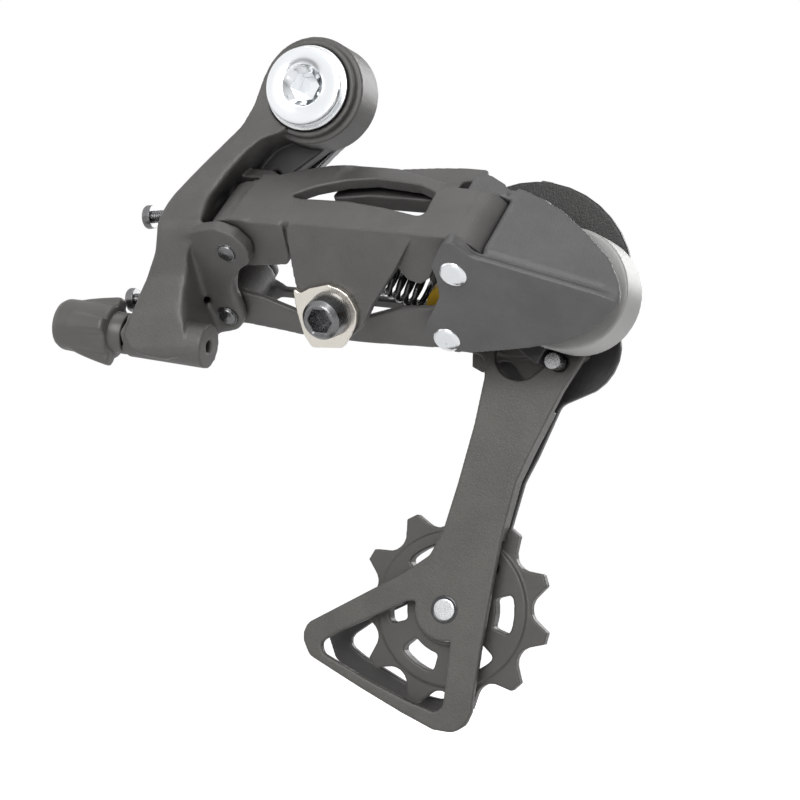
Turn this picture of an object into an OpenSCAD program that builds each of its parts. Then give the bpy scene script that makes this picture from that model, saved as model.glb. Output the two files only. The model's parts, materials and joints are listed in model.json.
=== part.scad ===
// Rear bicycle derailleur with a slant parallelogram, long cage and barrel adjuster.
// Millimetres. Origin on the mounting bolt's axis at the hanger's contact face.
// +X points forward along the bicycle, +Y inboard towards the wheel, +Z up.

/* [Hanger bolt and bracket] */
// radius of the M10 hanger thread
thread_r = 5; // [4.9:0.05:5]
// length of thread that stands inboard of the hanger face
thread_l = 9; // [7:0.5:11]
// radius of the mounting bolt's head
head_r = 8.75; // [8:0.25:9.5]
// width across the flats of the mounting bolt's hexagon
head_hex = 6; // [5:1:6]
// outer radius of the bracket's boss
boss_r = 12.2; // [11.5:0.1:12.5]

/* [Slant parallelogram] */
// length of each link between its pins
link_l = 55; // [53:0.5:56]
// radius of the four link pins
pin_r = 2; // [1.8:0.1:2.2]
// length of the outer link's barrels along the pins
outer_barrel = 17; // [15:0.5:17]
// length of the inner link's barrels along the pins
inner_barrel = 11.8; // [10:0.2:12]
// radius of the return spring's coil
spring_r = 3.6; // [3:0.1:3.7]

/* [Cage and pulleys] */
// teeth on each pulley
teeth = 11; // [10:1:11]
// distance between the guide and tension pulley axles
pulley_gap = 76; // [74:0.5:77]
// thickness of the cage plates
plate_t = 2; // [1.6:0.1:2.2]
// clear space between the two cage plates
cage_gap = 9.2; // [9:0.1:9.4]
// outer radius of the cage pivot housing
drum_r = 13.4; // [12.8:0.1:13.6]

/* [Cable adjuster] */
// outer radius of the adjuster's knob over its ribs
knob_r = 7.9; // [7.2:0.1:8]
// number of ribs round the knob
knob_ribs = 6; // [5:1:8]
// radius of the seat for the outer cable casing
casing_r = 2.6; // [2.5:0.05:2.7]

/* [Hidden] */
$fn = 64;
fit = 0.05;                      // radial running clearance
gap = 0.4;                       // side clearance between moving faces
// link frame: x along the links, z along the pins from their outboard ends
pin_at = [-15.9, -24, -37.5];
pin_tilt = [-44, 8, -4.5];
out_b = [0, 0];
in_b = [-5.5, 19];
out_p = out_b + [link_l, 0];
in_p = in_b + [link_l, 0];
lug_t = 3.2;
bar0 = lug_t + gap;
bar1 = bar0 + outer_barrel;
ibar1 = bar0 + inner_barrel;
obar_r = 6.6;
ibar_r = 5.2;
bush_or = 8.2;
bush_z = [8.6, 11.4];
// cage frame, X and Z of the three cross axes
cage_at = [58.7, -47.2];
guide_at = [43.5, -42.4];
pulley_dir = [-0.2317, -0.9728];
tension_at = guide_at + pulley_gap * pulley_dir;
pulley_y = 9;
out1 = pulley_y - cage_gap / 2;
out0 = out1 - plate_t;
in0 = pulley_y + cage_gap / 2;
in1 = in0 + plate_t;
chain_pitch = 12.7;
roller_r = 3.88;
pitch_r = chain_pitch / 2 / sin(180 / teeth);
tip_r = pitch_r + 0.4;
tooth_w = 2.6;
bush_r = 4;
cage_bolt_r = 2.5;
// clamp plate on the outer link
clamp_tilt = 22;
clamp_edge = [0, -7, 4];
clamp_at = [25.3, 19.5];
clamp_t = 2.5;
clamp_hole = 2.5;
// cable adjuster axis
adj_at = [-40.6, -20, -54.4];
adj_drop = 10;
// hanger stop
tab_x = -21;
b_screw_at = [-5.2, -25.2];
b_screw_l = 21.8;
shoulder_r = 5.4;
screw_r = 1.5;
// limit screws, Y of each and their common Z
limit_y = [-11.6, -5.8];
limit_z = -45.4;
limit_tip = -29;
limit_l = 15;

// ---------- helpers ----------
function unit(v) = v / norm(v);
function turn(a) = a > 180 ? a - 360 : a < -180 ? a + 360 : a;
function ang(v) = atan2(v[1], v[0]);
function arc(c, r, a0, a1, n = 8) =
    [for (i = [0:n]) c + r * [cos(a0 + (a1 - a0) * i / n), sin(a0 + (a1 - a0) * i / n)]];
function corner(p, q, s, r, n) =
    let (u = unit(p - q), v = unit(s - q), half = acos(max(-1, min(1, u * v))) / 2)
    half > 86 ? [q] :
    let (t = min(r / tan(half), 0.48 * min(norm(p - q), norm(s - q))), rr = t * tan(half),
         c = q + unit(u + v) * rr / sin(half), a0 = ang(q + u * t - c), d = turn(ang(q + v * t - c) - a0))
    arc(c, rr, a0, a0 + d, n);
function rounded(p, r, n = 4) =
    [for (i = [0:len(p) - 1]) each corner(p[(i + len(p) - 1) % len(p)], p[i], p[(i + 1) % len(p)], r, n)];
module plate_xz(y0, y1) translate([0, y1, 0]) rotate([90, 0, 0]) linear_extrude(height = y1 - y0) children();
module rod_y(at, r, y0, y1) translate([at[0], y0, at[1]]) rotate([-90, 0, 0]) cylinder(r = r, h = y1 - y0);
module cone_y(at, r0, r1, y0, y1) translate([at[0], y0, at[1]]) rotate([-90, 0, 0])
    cylinder(r1 = r0, r2 = r1, h = y1 - y0);
module rod_z(at, r, z0, z1) translate([at[0], at[1], z0]) cylinder(r = r, h = z1 - z0);
module link_frame() translate(pin_at) rotate(pin_tilt) children();
module clamp_frame() link_frame() translate(clamp_edge) rotate([-clamp_tilt, 0, 0]) children();
module adj_frame() translate(adj_at) rotate([0, adj_drop, 0]) rotate([0, -90, 0]) children();

// ---------- hanger bolt ----------
module mounting_bolt() color([0.80, 0.81, 0.83]) difference() {
    union() {
        cone_y([0, 0], head_r - 0.3, head_r, -19, -18.7);
        rod_y([0, 0], head_r, -18.7, -16.3);
        rod_y([0, 0], 6, -16.3, -2.7);
        rod_y([0, 0], shoulder_r, -2.7, 0);
        rod_y([0, 0], thread_r, 0, thread_l - 0.8);
        cone_y([0, 0], thread_r, thread_r - 0.7, thread_l - 0.8, thread_l);
    }
    translate([0, -13, 0]) rotate([90, 0, 0]) cylinder(r = head_hex / 2 / cos(30), h = 8, $fn = 6);
    cone_y([0, 0], 4.3, 3.2, -19.1, -17.6);
}

module bolt_washer() color([0.75, 0.76, 0.78]) difference() {
    rod_y([0, 0], 9.6, -16.3, -15.6);
    rod_y([0, 0], 6.05, -17, -15);
}

// Flat plate against the hanger, with the tab the B-tension screw bears on
tab_z = [b_screw_at[1] - 2.8, b_screw_at[1] + 2.8];
stop_outline = [[-9.5, 4], [-8, -6], [-16, -18], [tab_x, tab_z[1]], [tab_x, tab_z[0]],
    [tab_x + 2.6, tab_z[0]], [-12, -21], [-3, -16], [1.5, -12], [6, -8.5], [10.3, -3], [10.3, 4],
    [6, 9], [0, 10.6], [-6, 9]];
module stop_plate() color([0.30, 0.30, 0.31]) difference() {
    union() {
        plate_xz(-2.6, 0) polygon(rounded(stop_outline, 3));
        translate([tab_x, -6.8, tab_z[0] + 0.3]) cube([1.6, 5.8, 5]);
    }
    rod_y([0, 0], shoulder_r, -4, 1);
}

// ---------- bracket (B-knuckle) ----------
arm_outline = [[-6, 9], [-10.6, 4], [-13.2, -2.7], [-15.6, -7.3], [-20, -11.1], [-23.6, -15],
    [-27.3, -19.3], [-30.2, -22.9], [-31.6, -26], [-32.4, -30], [-32.7, -33.6], [-33.7, -37],
    [-35.7, -40.8], [-37.2, -44.4], [-38.6, -48.4], [-41, -58.6], [-31, -60.6], [-25.5, -60],
    [-26.2, -46], [-25.2, -36.5], [-21.3, -31.5], [-21.15, -24.5], [-17.6, -18.6], [-13.7, -13.6],
    [-10.8, -11.1], [-3, -9]];
arm_side = [[-15.4, 12], [-15.4, -3], [-17.5, -12], [-21.5, -22], [-26.5, -30.5], [-25.5, -34],
    [-23.5, -42], [-25, -50], [-25, -62], [-13, -62], [-4.2, -52], [-3, -41], [-3, 12]];
web_outline = [[7, -8], [-1.8, -14], [-6.5, -17], [-12, -21], [-18, -24], [-24, -20], [-20, -6], [0, 0]];
front_lug = [[-19, -1.5], [-10.4, -4.2], [-5.9, -5.7], [-1.4, -6.7], [3, -5.2], [5.6, -1.6], [5, 2.4],
    [1.7, 4.8], [-0.8, 8], [-1.8, 12.5], [-1.2, 16.5], [-1.6, 20.5], [-4, 23.4], [-8, 24.8], [-14, 24.5],
    [-18.5, 15]];

module bracket_solid() {
    rod_y([0, 0], boss_r, -13.4, -3);
    rod_y([0, 0], 10.9, -15.4, -13.4);
    plate_xz(-7, -3.2) polygon(rounded(web_outline, 2));
    intersection() {
        plate_xz(-30, 0) polygon(rounded(arm_outline, 6));
        rotate([90, 0, 90]) translate([0, 0, -50]) linear_extrude(height = 60) polygon(rounded(arm_side, 4));
    }
    link_frame() {
        linear_extrude(height = lug_t) polygon(rounded(front_lug, 3));
        intersection() {
            translate([0, 0, 0.6]) linear_extrude(height = bar1 + gap + 2.4)
                polygon(rounded([[-7, -5.6], [-18, -3], [-19, 12], [-12, 13], [-7, 5]], 2));
            plate_xz(-10, 20) polygon([[-20, 0], [-4, 0], [-4, 24], [-10, 24], [-20, 15]]);
        }
        translate([0, 0, bar1 + gap]) linear_extrude(height = 3)
            polygon(rounded([[-14, -5], [2, -5.2], [5.2, -2], [5.2, 2], [2, 4.6], [-6, 3], [-14, 4]], 2));
        translate([0, 0, 0.6]) linear_extrude(height = ibar1 + gap + 2)
            polygon(rounded([[-8, 12], [-18.5, 8], [-18, 20], [-13, 25], [-8, 24.4]], 2));
        translate([0, 0, ibar1 + gap]) linear_extrude(height = 3)
            polygon(rounded([[-17, 12], [-6, 13.8], [-1, 16], [-0.6, 20], [-4, 24], [-15, 24]], 2));
    }
    adj_frame() translate([0, 0, -19]) cylinder(r = 5, h = 19);
}

module bracket() color([0.36, 0.36, 0.35]) difference() {
    bracket_solid();
    rod_y([0, 0], 7, -20, 0);
    rod_y([0, 0], 9.9, -17, -14.9);
    link_frame() {
        rod_z(out_b, pin_r, -1, 30);
        rod_z(in_b, pin_r, -1, 30);
        rod_z(out_b, obar_r + 0.5, bar0 - gap, bar1 + gap);
        rod_z(in_b, ibar_r + 0.5, bar0 - gap, ibar1 + gap);
    }
    adj_frame() {
        translate([0, 0, -14]) cylinder(r = 2.5 + fit, h = 20);
        translate([0, 0, -22]) cylinder(r = 1.4, h = 20);
    }
    translate([-50, b_screw_at[0], b_screw_at[1]]) rotate([0, 90, 0]) cylinder(r = screw_r + fit, h = 29.5);
    for (y = limit_y) translate([-50, y, limit_z]) rotate([0, 90, 0]) cylinder(r = screw_r + fit, h = 24.5);
    translate([tab_x - 0.05, -9, -36]) cube([9, 12, 14.5]);
    translate([-60, 4.5, -80]) cube([60, 10, 60]);
}

module pivot_bush() color([0.55, 0.50, 0.42]) difference() {
    rod_y([0, 0], 7, -14.8, -3.1);
    rod_y([0, 0], 6 + fit, -16, -2);
}

// Small cross-slotted screw along +X; x0 is its tip
module small_screw(x0, y, z, len) difference() {
    translate([x0, y, z]) rotate([0, -90, 0]) {
        cylinder(r = screw_r, h = len);
        translate([0, 0, len]) cylinder(r = 2.8, h = 1.6);
        translate([0, 0, len + 1.6]) cylinder(r1 = 2.8, r2 = 2, h = 0.8);
    }
    for (a = [0, 90]) translate([x0 - len - 2.2, y, z]) rotate([a, 0, 0])
        cube([1.8, 0.7, 3.4], center = true);
}
module b_tension_screw() color([0.55, 0.55, 0.56])
    small_screw(tab_x - 0.3, b_screw_at[0], b_screw_at[1], b_screw_l);
module high_limit_screw() color([0.5, 0.5, 0.5]) small_screw(limit_tip, limit_y[0], limit_z, limit_l);
module low_limit_screw() color([0.5, 0.5, 0.5]) small_screw(limit_tip, limit_y[1], limit_z, limit_l);

// ---------- link pins ----------
pin_end = bar1 + gap + lug_t;
ipin_end = ibar1 + gap + lug_t;
module link_pin(at, z1, r_head) link_frame() {
    rod_z(at, pin_r, 0, z1);
    translate([at[0], at[1], -0.5]) cylinder(r = r_head, h = 0.5);
    translate([at[0], at[1], -0.9]) cylinder(r1 = r_head - 0.8, r2 = r_head, h = 0.4);
}
module bracket_outer_pin() color([0.78, 0.79, 0.80]) link_pin(out_b, pin_end, 2.9);
module bracket_inner_pin() color([0.78, 0.79, 0.80]) link_pin(in_b, ipin_end, 2.9);
module cage_outer_pin() color([0.78, 0.79, 0.80]) link_pin(out_p, pin_end, 3.2);
module cage_inner_pin() color([0.78, 0.79, 0.80]) link_pin(in_p, ipin_end, 3.2);

// ---------- links ----------
outer_face = [[-9, bar0], [-9, bar1], [6, bar1], [9.4, 22.4], [16.7, 25.1], [22.4, 26.1],
    [33.4, 25.9], [44, 22.8], [50, bar1], [64, bar1], [64, bar0], [45.5, bar0], [37.6, 4.2],
    [14.6, 4.4], [6, 4.8], [4, bar0]];
outer_window = [[11.4, 13.3], [16.4, 17.3], [22.7, 20.2], [29.5, 21.6], [40.4, 20.6], [45, 18.5],
    [45.4, 9.8], [35.4, 11.9], [26, 13.1], [14.7, 12.7]];
clamp_plate = [[14.7, 0], [15, 4.4], [15.8, 11.4], [16.5, 15.5], [18, 21], [21.5, 25.6], [28, 26],
    [32, 22.6], [34.7, 17.3], [40.4, 9.2], [44.6, 2], [45.2, 0]];
back_wall = [[18.4, 18.9], [21, 19.2], [27, 20.6], [45, 20.6], [46.6, 24.6], [47, 28.4], [52, 28.8],
    [51.2, 32.8], [46, 33], [39, 32.3], [31, 31], [22, 27], [18.9, 25.6]];
wall_ribs = [
    [[17.8, 25.3], [20, 26], [30, 26.5], [40, 25], [46.4, 22.5], [46.4, 20.2], [40, 23.4], [30, 24.6],
        [20, 24], [18, 23.4]],
    [[44, 8], [49, 6], [48.6, 20.3], [45, 21.1]]];
front_webs = [
    [[38, -5], [40, 3], [41.5, 6], [44.5, 6.9], [47, 5], [49, 1.5], [52, -4], [52, -6]],
    [[0, -6.4], [14, -6.6], [13.4, 2], [12.4, 4.9], [8, 5.6], [2, 6.4]]];
barrel_bevel = 3;
hook_slot = [[-0.5, -2.6], [8, -0.2], [8, 8], [-2, 8]];

module outer_link() color([0.38, 0.38, 0.37]) difference() {
    union() {
        link_frame() {
            intersection() {
                linear_extrude(height = 30) {
                    translate(out_b) circle(r = obar_r);
                    translate(out_p) circle(r = obar_r);
                    polygon([[-2.4, -6.15], [1, -6.9], [link_l - 1, -6.9], [link_l + 2.4, -6.15],
                        [link_l + 1, -3], [link_l - 6, -4.2], [6, -4.2], [-1, -3]]);
                }
                plate_xz(-10, 10) polygon(rounded(outer_face, 1.5));
            }
            plate_xz(-6.9, -4.2) polygon([[15.5, 3.9], [44.5, 3.9], [44.5, 6], [15.5, 6]]);
            plate_xz(-2.6, 1.2) polygon(rounded(back_wall, 1));
            for (r = wall_ribs) plate_xz(-4.3, -2.5) polygon(r);
            for (w = front_webs) translate([0, 0, bar0]) linear_extrude(height = 2) polygon(rounded(w, 1));
        }
        clamp_frame() linear_extrude(height = clamp_t) polygon(rounded(clamp_plate, 3));
    }
    link_frame() {
        rod_z(out_b, pin_r + fit, 0, 40);
        rod_z(out_p, pin_r + fit, 0, 30);
        translate([out_b[0], out_b[1], bar1 - barrel_bevel]) difference() {
            cylinder(r = obar_r + 0.2, h = barrel_bevel + 1);
            cylinder(r1 = obar_r, r2 = obar_r - barrel_bevel * 0.8, h = barrel_bevel);
        }
        plate_xz(-12, -3) polygon(rounded(outer_window, 1.5));
        translate([0, 0, 11]) linear_extrude(height = 3) polygon(hook_slot);
    }
    clamp_frame() translate([clamp_at[0], clamp_at[1], -5]) cylinder(r = clamp_hole, h = 12);
}

inner_front = [[-5.5, 13.9], [2.6, 15.6], [11.5, 19.2], [20, 19.6], [28.9, 18.2], [37.8, 14.6],
    [46.2, 13.6], [49.5, 13.9], [50.5, 19], [49.5, 24.6], [42.6, 25.4], [25, 26.2], [10, 25.8],
    [6, 25.2], [-5.5, 23.9], [-6.5, 19]];
inner_base = [[-5.5, 24.15], [-5.5, 20], [-1, 20.5], [2, 21.9], [42, 21.9], [45, 20.5], [49.5, 20],
    [49.5, 24.15]];
inner_back = [[-5.5, 16], [-1.5, 17], [-0.6, 20], [3, 22.4], [-5.5, 22.4]];
inner_flange_t = 1.5;
inner_window = [[0.2, 6], [36, 6], [36, 13.7], [0.2, 13.7]];
module inner_link() color([0.33, 0.32, 0.33]) link_frame() difference() {
    union() {
        for (p = [in_b, in_p]) rod_z(p, ibar_r, bar0, ibar1);
        translate([0, 0, bar0]) linear_extrude(height = inner_flange_t) polygon(rounded(inner_front, 4));
        translate([0, 0, bar0]) linear_extrude(height = inner_barrel) polygon(inner_base);
        translate([0, 0, ibar1 - 2.4]) linear_extrude(height = 2.4) polygon(rounded(inner_back, 2));
    }
    rod_z(in_b, pin_r + fit, 0, 30);
    rod_z(in_p, pin_r + fit, 0, 30);
    rod_z(in_p, bush_or + 0.5, bush_z[0] - 0.3, bush_z[1] + 0.3);
    plate_xz(20.8, 30) polygon(rounded(inner_window, 1.2));
}

// Diagonal extension spring from the bracket's outer pin to the bush on the cage's inner pin
spring_a = [0, 0, 12.5];
spring_b = [in_p[0], in_p[1], 10];
spring_wire = 0.7;
spring_pitch = 2;
spring_turns = 15;
coil_from = 12.9;
module return_spring() color([0.12, 0.12, 0.12]) link_frame() {
    d = spring_b - spring_a;
    len = norm(d);
    coil_l = spring_turns * spring_pitch;
    translate(spring_a) rotate([0, acos(d[2] / len), atan2(d[1], d[0])]) {
        translate([0, 0, pin_r]) cylinder(r = spring_wire, h = len - pin_r - bush_or - 0.1);
        translate([0, 0, coil_from]) rotate_extrude() {
            for (i = [0:spring_turns]) translate([spring_r, spring_wire + i * spring_pitch])
                circle(r = spring_wire, $fn = 16);
            translate([spring_r - 0.3, spring_wire]) square([0.4, coil_l]);
        }
        for (z = [coil_from - 0.2, coil_from + coil_l + 0.6]) translate([0, 0, z])
            cylinder(r = spring_r, h = 0.9);
    }
}

// ---------- cable clamp ----------
washer_t = 1.6;
washer_shape = [[16.4, 14.3], [18, 15.6], [20.5, 14.2], [25.2, 12.9], [29.8, 14.8], [31.8, 18.5],
    [30.6, 22.8], [27.8, 27.2], [20.2, 27.9], [18.3, 25], [17, 19.9], [16.6, 16.5]];
module cable_washer() color([0.72, 0.70, 0.64]) clamp_frame() difference() {
    translate([0, 0, -washer_t]) linear_extrude(height = washer_t) {
        translate(clamp_at) circle(r = 6.3);
        polygon(rounded(washer_shape, 1.2));
    }
    translate([clamp_at[0], clamp_at[1], -5]) cylinder(r = clamp_hole, h = 12);
    translate([clamp_at[0] - 12, clamp_at[1] + 3.1, 0]) rotate([0, 90, 0])
        cylinder(r = 0.7, h = 24, $fn = 24);
}
module cable_bolt() color([0.30, 0.30, 0.31]) clamp_frame() translate([clamp_at[0], clamp_at[1], 0])
    difference() {
        union() {
            translate([0, 0, -7.2]) cylinder(r1 = 3.7, r2 = 4.3, h = 1);
            translate([0, 0, -6.2]) cylinder(r1 = 4.3, r2 = 5.1, h = 4.6);
            translate([0, 0, -washer_t]) cylinder(r = clamp_hole, h = 5.2);
        }
        translate([0, 0, -8]) cylinder(r = 2.5 / cos(30), h = 4.4, $fn = 6);
    }

// ---------- cage knuckle (P-knuckle) ----------
cover_face = [[55.4, -9.6], [52.6, -6], [50.3, -1.9], [50.6, 2], [50.4, 6.6], [48.1, 10.6],
    [45.6, 14.4], [44.6, 17.9], [46.2, 21], [50.7, 22.4], [54.4, 22.2], [61.7, 20.6], [69.1, 18.8],
    [76.4, 16.4], [82.6, 12.8], [86.5, 9.6], [89.6, 5.7], [92, 3.2], [86, 2.2], [60, -4.9]];
cover_body = [[61, -4.7], [60, 0], [61, 8], [60.5, 20], [67.3, 18.8], [76.4, 16.2], [82.6, 12.6],
    [87, 9], [90.4, 5.4], [92, 3.4]];
panel_face = [[-12, 22], [-8.2, 25.6], [-3, 26], [4.7, 24.4], [12.6, 22], [19.8, 17.3], [26.8, 11.6],
    [30.6, 6.2], [32.6, 1.5], [33, -1], [-30, -1], [-30, 22]];
panel_turn = 15.9;
back_lug = [[55, -5.4], [50.4, -3], [49.8, 2], [53, 5], [59, 5], [66, 8], [70, -2], [62, -4.4]];
inner_lug = [[46, 14.5], [44.4, 19], [46.5, 23.2], [51, 24], [66, 20], [68, 8], [58, 12]];
top_lobe = [[50.6, 21.4], [50.7, 27.3], [52.3, 28.2], [54.4, 27.7], [58.4, 25.2], [61.5, 21.4]];
module cover_solid() link_frame() {
    linear_extrude(height = lug_t) polygon(rounded(cover_face, 2));
    intersection() {
        linear_extrude(height = 27) polygon(rounded(cover_body, 1.5));
        translate([60, -5, 0]) rotate([0, 0, panel_turn]) plate_xz(-5, 40) polygon(rounded(panel_face, 3));
    }
    translate([0, 0, bar1 + gap]) linear_extrude(height = 3) polygon(rounded(back_lug, 2));
    translate([0, 0, ibar1 + gap]) linear_extrude(height = 3) polygon(rounded(inner_lug, 2));
    plate_xz(-5.2, -3) polygon(rounded(top_lobe, 1));
}
module knuckle_cover() color([0.42, 0.42, 0.41]) difference() {
    cover_solid();
    link_frame() {
        rod_z(out_p, pin_r, -1, 30);
        rod_z(in_p, pin_r, -1, 30);
        rod_z(out_p, obar_r + 0.5, bar0 - gap, bar1 + gap);
        rod_z(in_p, ibar_r + 0.5, bar0 - gap, ibar1 + gap);
    }
    rod_y(cage_at, drum_r, -12, 10);
    translate([0, 0.5, -80]) cube([120, 20, 80]);
}
module knuckle_drum() color([0.82, 0.82, 0.80]) difference() {
    union() {
        rod_y(cage_at, drum_r, -12, 1);
        intersection() {
            rod_y(cage_at, drum_r + 4.4, -4.5, 0.6);
            plate_xz(-5, 1) polygon([cage_at, cage_at + 30 * [cos(222), sin(222)],
                cage_at + 30 * [cos(240), sin(240)]]);
        }
    }
    rod_y(cage_at, 5 + fit, -14, 3);
    difference() {
        rod_y(cage_at, 11.8, -9.6, 3);
        rod_y(cage_at, 7, -11, 3);
    }
}
module cage_spring() color([0.25, 0.25, 0.26]) translate([cage_at[0], -9.3, cage_at[1]]) rotate([-90, 0, 0])
    rotate_extrude() union() {
        for (i = [0:4]) translate([9.3, 1 + i * 1.9]) circle(r = 0.9, $fn = 16);
        translate([8.9, 1]) square([0.8, 7.6]);
    }
module spring_bush() color([0.69, 0.54, 0.10]) link_frame() difference() {
    rod_z(in_p, bush_or, bush_z[0], bush_z[1]);
    rod_z(in_p, pin_r, 0, 30);
}

// ---------- cage ----------
module cage_axle() color([0.70, 0.71, 0.73]) difference() {
    union() {
        rod_y(cage_at, 5, -11.8, out1);
        rod_y(cage_at, 7, out1, out1 + 1.2);
    }
    translate([cage_at[0], out1 - 1, cage_at[1]]) rotate([-90, 0, 0])
        cylinder(r = 2.5 / cos(30), h = 5, $fn = 6);
}
stop_at = cage_at + (drum_r + 2.3) * [cos(248.5), sin(248.5)];
module cage_stop_pin() color([0.70, 0.71, 0.73]) rod_y(stop_at, 1.8, -3.6, out1);

outer_shape = concat(arc([46.5, -44], 23.1, 205, 8, 20), arc(cage_at, 12.3, 10, -35, 6),
    [[59, -59.9], [53.3, -68.1], [46, -81.5], [42.7, -88], [39, -101.2], [36.9, -111.8],
     [34.3, -125.2], [32.4, -136.3], [32.2, -138.9], [30.7, -142], [27.7, -143.7], [23, -143.1],
     [15.4, -139.4], [5.8, -134.2], [0.9, -131.4], [-6.7, -127], [-8.2, -123.6], [-8.2, -121.8],
     [-7.2, -119.6], [16.1, -108.2], [22.4, -104.2], [25.6, -98.6], [29.1, -88.1], [33, -75],
     [35.4, -64.5], [35.7, -59.5], [30, -58.4]]);
cage_window = concat([[16.6, -114.6], [15.6, -115.2], [1.7, -121], [-4.2, -124], [-3.2, -126.6],
    [8, -132.6], [16.9, -136.8], [23.4, -139.2], [25.4, -138], [26.2, -131.8], [27.2, -124]],
    arc(tension_at, 7.1, 281, 163, 10));
module plate_shape() difference() {
    polygon(rounded(outer_shape, 3, 3));
    polygon(rounded(cage_window, 1.5, 3));
    translate(tension_at) circle(r = cage_bolt_r);
    translate(guide_at) circle(r = cage_bolt_r);
}
rim = [[49.6, -72.2], [45, -80.9], [41.4, -88.3], [37.4, -101.2], [38.8, -101.2], [42.7, -88], [46, -81.5],
    [50.9, -72.5]];
bead_right = [[57, -59.6], [51.8, -67.4], [49.6, -72.2], [50.9, -72.5], [53.3, -68.1], [58.2, -61]];
bead_left = [[35.7, -62], [33.2, -74], [29.2, -87.9], [26.4, -96.3], [27.6, -96.7], [30.4, -88.3],
    [34.4, -74.4], [36.9, -62.2]];
module outer_plate() color([0.36, 0.36, 0.35]) difference() {
    union() {
        plate_xz(out0, out1) difference() {
            plate_shape();
            polygon(rounded(concat(arc([43.6, -59.6], 5.8, 30, 315, 14), [[49.6, -62]]), 0.8, 2));
            translate(cage_at) circle(r = 5);
        }
        plate_xz(out1, out1 + 3) polygon(rim);
        plate_xz(out1, out1 + 0.8) polygon(bead_right);
        plate_xz(out1, out1 + 0.8) polygon(bead_left);
    }
    rod_y(stop_at, 1.8, out0 - 1, out1 + 1);
}
inner_shape = concat(arc(guide_at, 22, 215, 40, 18), arc([52, -57], 12, 10, -60, 5),
    [[50.1, -70.5], [44.6, -82], [41.3, -88], [37.2, -101.2], [34, -112], [31.6, -120],
     [30.4, -128], [28.6, -139], [24.4, -142], [19.6, -141.4], [8.9, -137], [-4.6, -128.4], [-6.6, -122.6],
     [-5.8, -120.6], [16.1, -109.6], [23, -105], [27, -98.6], [30.5, -88.1], [34, -75], [35.4, -64.5],
     [32, -60]]);
module inner_plate() color([0.30, 0.30, 0.30]) plate_xz(in0, in1) difference() {
    polygon(rounded(inner_shape, 3, 3));
    polygon(rounded([[-2.4, -124], [6, -118.6], [14, -115], [17.4, -117.4], [20, -121],
        [24.8, -124.6], [24, -132], [22.6, -137.4], [17.9, -136.4], [2.4, -127.6]], 2, 3));
    translate(guide_at + [0.4, -16.4]) circle(r = 4.2);
    translate(tension_at) circle(r = cage_bolt_r);
    translate(guide_at) circle(r = cage_bolt_r);
}

module per_pulley() for (p = [guide_at, tension_at]) translate([p[0], 0, p[1]]) children();
module pulley_bushes() color([0.74, 0.75, 0.77]) per_pulley() difference() {
    rod_y([0, 0], bush_r, out1, in0);
    rod_y([0, 0], cage_bolt_r, 0, 20);
}
module dust_caps() color([0.60, 0.61, 0.62]) per_pulley() for (s = [-1, 1]) difference() {
    translate([0, pulley_y, 0]) rotate([s * 90, 0, 0]) translate([0, 0, cage_gap / 2 - 0.75])
        cylinder(r1 = 7.4, r2 = 6.8, h = 0.55);
    rod_y([0, 0], bush_r, 0, 20);
}
module pulley_bolts() color([0.76, 0.77, 0.79]) per_pulley() difference() {
    union() {
        rod_y([0, 0], cage_bolt_r, out0 - 0.3, in1);
        rod_y([0, 0], 4.2, in1, in1 + 1.6);
        cone_y([0, 0], 4.2, 3.6, in1 + 1.6, in1 + 2.1);
    }
    translate([0, in1 + 0.6, 0]) rotate([-90, 0, 0]) cylinder(r = 1.5 / cos(30), h = 4, $fn = 6);
}

// one tooth pitch of the sprocket outline: roller seat, flank, narrow tip
function tooth_pts(i, a0) =
    let (a = a0 + i * 360 / teeth, half = 180 / teeth, c = pitch_r * [cos(a), sin(a)])
    concat([for (k = [-3:3]) c + roller_r * [cos(a + 180 - k * 18), sin(a + 180 - k * 18)]],
        [for (d = [-3.4, 3.4]) tip_r * [cos(a + half + d), sin(a + half + d)]]);
module toothed(a0) polygon([for (i = [0:teeth - 1]) each tooth_pts(i, a0)]);
module pulley_at(p, a0, windows) translate([p[0], 0, p[1]]) difference() {
    union() {
        plate_xz(pulley_y - tooth_w / 2, pulley_y + tooth_w / 2) toothed(a0);
        rod_y([0, 0], 17.6, pulley_y - 1.9, pulley_y + 1.9);
        rod_y([0, 0], 8.2, out1 + 0.95, in0 - 0.95);
    }
    rod_y([0, 0], bush_r + fit, 0, 20);
    for (i = [0:windows - 1]) rotate([0, -(i * 360 / windows - 5), 0]) plate_xz(0, 20)
        polygon(rounded(concat(arc([0, 0], 14.9, -18, 18, 4), arc([0, 0], 10.6, 18, -18, 4)), 1.2, 3));
}
module guide_pulley() color([0.34, 0.33, 0.31]) pulley_at(guide_at, 43.6 + 180 / teeth, 6);
module tension_pulley() color([0.34, 0.33, 0.31]) pulley_at(tension_at, 0, 6);

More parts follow.
